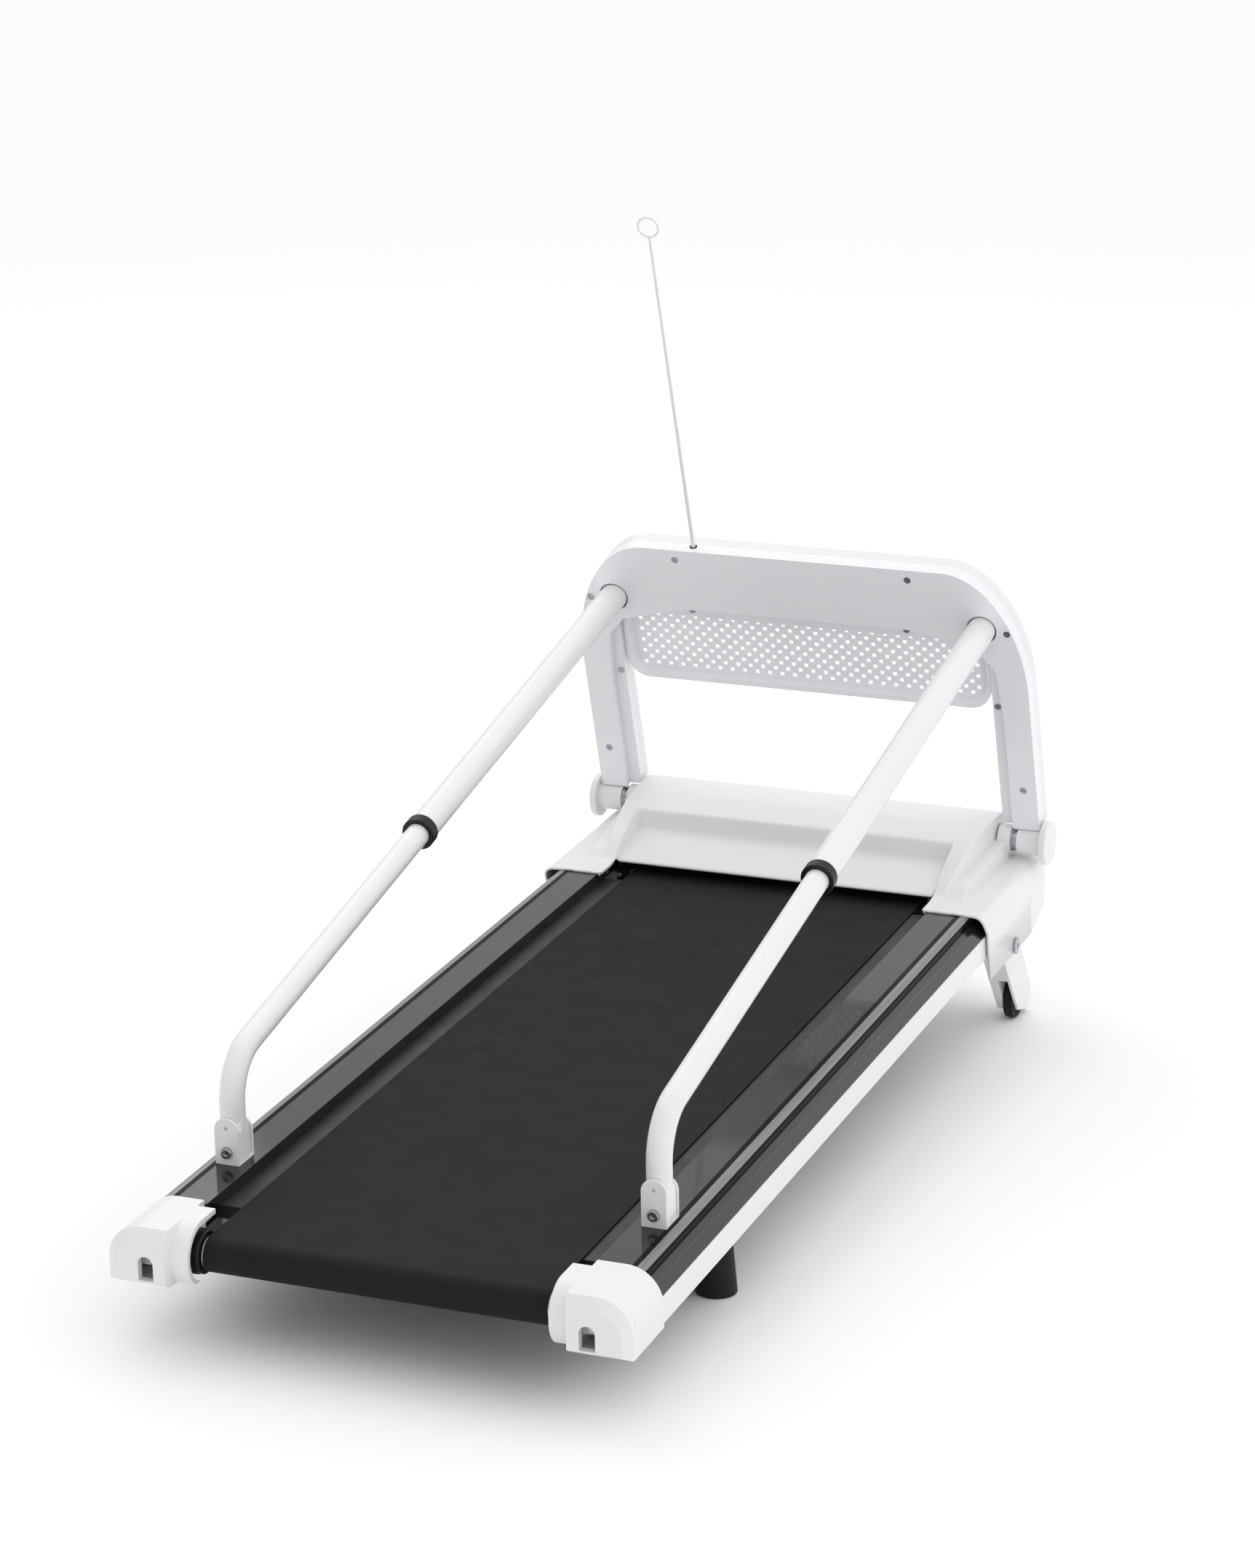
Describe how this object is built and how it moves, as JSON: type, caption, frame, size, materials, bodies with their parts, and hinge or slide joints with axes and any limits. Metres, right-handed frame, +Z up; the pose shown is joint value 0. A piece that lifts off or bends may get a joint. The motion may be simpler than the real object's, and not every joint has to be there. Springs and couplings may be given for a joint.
{
  "type": "belt treadmill",
  "caption": "Flat-belt walking treadmill with a folding hoop, telescoping side rails, a perforated tray, a lure rod and wheeled front legs.",
  "frame": {"origin": "on the floor, at the centre of the footprint of the whole object", "axes": "+Y along the deck towards the hood and hoop, +X to the right facing the hood, +Z up"},
  "size_m": [0.568, 1.3274, 0.9429],
  "materials": {
    "white_gloss": "moulded white plastic, satin gloss",
    "white_satin": "moulded white plastic, satin",
    "white_paint": "white powder coat",
    "black_gloss": "gloss black extrusion",
    "belt_black": "fine woven running surface",
    "black_plastic": "matte black",
    "black_rubber": "matte rubber",
    "board": "black-faced deck board",
    "steel": "bright steel",
    "chrome": "polished",
    "screw_grey": "satin zinc",
    "iron": "turned cast iron",
    "tray_clear": "pale frosted plastic",
    "pan_grey": "light grey plastic"
  },
  "bodies": {
    "base": {"side_rail_right": "black_gloss", "side_rail_left": "black_gloss", "frame_beam_right": "white_paint", "frame_beam_left": "white_paint", "cross_members": "white_paint", "front_cross_member": "white_paint", "deck_board": "board", "deck_cushions": "black_rubber", "running_belt": "belt_black", "rear_roller_bearings": "steel", "front_roller_bearings": "steel", "rear_roller_axle": "steel", "front_roller_axle": "steel", "roller_brackets": "steel", "rear_axle_brackets": "steel", "rear_cap_right": "white_gloss", "rear_cap_left": "white_gloss", "rear_feet": "black_rubber", "lower_tube_right": "white_paint", "lower_tube_left": "white_paint", "guide_bushes": "black_plastic", "tube_brackets": "white_paint", "bracket_screws": "chrome", "bracket_nuts": "chrome", "hinge_brackets": "white_paint", "hinge_pins": "steel", "hinge_springs": "chrome", "hood": "white_gloss", "base_pan": "pan_grey", "drive_belt": "black_rubber", "flywheel_axle": "steel", "flywheel_bracket": "steel", "brake_caliper": "black_plastic", "leg_brackets": "steel", "leg_bolts": "chrome"},
    "hoop": {"hoop_frame": "white_paint", "hinge_caps": "white_gloss", "hoop_rear_cover": "white_satin", "hoop_front_cover": "white_gloss", "hoop_screws": "screw_grey", "tray": "tray_clear"},
    "socket": {"rod_socket": "black_rubber"},
    "rod": {"lure_rod": "white_paint"},
    "upper_tube_right": {"upper_tube_right": "white_paint", "tube_collar_right": "black_plastic"},
    "upper_tube_left": {"upper_tube_left": "white_paint", "tube_collar_left": "black_plastic"},
    "front_roller": {"front_roller": "steel"},
    "rear_roller": {"rear_roller": "steel"},
    "flywheel": {"flywheel": "iron"},
    "tension_bolt_right": {"tension_bolt_right": "chrome"},
    "tension_bolt_left": {"tension_bolt_left": "chrome"},
    "leg_right": {"front_leg_right": "white_gloss", "wheel_axle_right": "steel"},
    "leg_left": {"front_leg_left": "white_gloss", "wheel_axle_left": "steel"},
    "wheel_right": {"front_wheel_right": "black_rubber"},
    "wheel_left": {"front_wheel_left": "black_rubber"}
  },
  "joints": [
    {"name": "hoop_fold", "type": "hinge", "parent": "base", "child": "hoop", "pos_m": [0, 0.60829, 0.2027], "axis": [1, 0, 0], "range_deg": [0, 62]},
    {"name": "socket_turn", "type": "hinge", "parent": "hoop", "child": "socket", "pos_m": [-0.12, 0.50323, 0.54338], "axis": [0, -0.3437, 0.9391], "continuous": true},
    {"name": "rod_lift", "type": "slide", "parent": "socket", "child": "rod", "axis": [0, -0.3437, 0.9391], "range_m": [0, 0.03]},
    {"name": "upper_tube_right_slide", "type": "slide", "parent": "base", "child": "upper_tube_right", "axis": [0, -0.9709, -0.2394], "range_m": [0, 0.3918]},
    {"name": "upper_tube_left_slide", "type": "slide", "parent": "base", "child": "upper_tube_left", "axis": [0, -0.9709, -0.2394], "range_m": [0, 0.3918]},
    {"name": "front_roller_spin", "type": "hinge", "parent": "base", "child": "front_roller", "pos_m": [0, 0.48701, 0.14411], "axis": [1, 0, 0], "continuous": true},
    {"name": "rear_roller_spin", "type": "hinge", "parent": "base", "child": "rear_roller", "pos_m": [0, -0.62166, 0.08988], "axis": [1, 0, 0], "continuous": true},
    {"name": "flywheel_spin", "type": "hinge", "parent": "base", "child": "flywheel", "pos_m": [0, 0.55093, 0.14723], "axis": [1, 0, 0], "continuous": true},
    {"name": "tension_right_turn", "type": "hinge", "parent": "base", "child": "tension_bolt_right", "pos_m": [0.225, -0.63964, 0.089], "axis": [0, 0.9988, 0.0488], "continuous": true},
    {"name": "tension_left_turn", "type": "hinge", "parent": "base", "child": "tension_bolt_left", "pos_m": [-0.225, -0.63964, 0.089], "axis": [0, 0.9988, 0.0488], "continuous": true},
    {"name": "leg_right_tilt", "type": "hinge", "parent": "base", "child": "leg_right", "pos_m": [0.252, 0.52311, 0.10192], "axis": [-1, 0, 0], "range_deg": [0, 25]},
    {"name": "leg_left_tilt", "type": "hinge", "parent": "base", "child": "leg_left", "pos_m": [-0.252, 0.52311, 0.10192], "axis": [-1, 0, 0], "range_deg": [0, 25]},
    {"name": "wheel_right_spin", "type": "hinge", "parent": "leg_right", "child": "wheel_right", "pos_m": [0.255, 0.56995, 0.0245], "axis": [1, 0, 0], "continuous": true},
    {"name": "wheel_left_spin", "type": "hinge", "parent": "leg_left", "child": "wheel_left", "pos_m": [-0.255, 0.56995, 0.0245], "axis": [1, 0, 0], "continuous": true}
  ],
  "couplings": [
    {"joint": "upper_tube_right_slide", "follows": "hoop_fold", "m_per_rad": 0.361},
    {"joint": "upper_tube_left_slide", "follows": "hoop_fold", "m_per_rad": 0.361},
    {"joint": "rear_roller_spin", "follows": "front_roller_spin", "ratio": 1},
    {"joint": "flywheel_spin", "follows": "front_roller_spin", "ratio": 1.5}
  ]
}
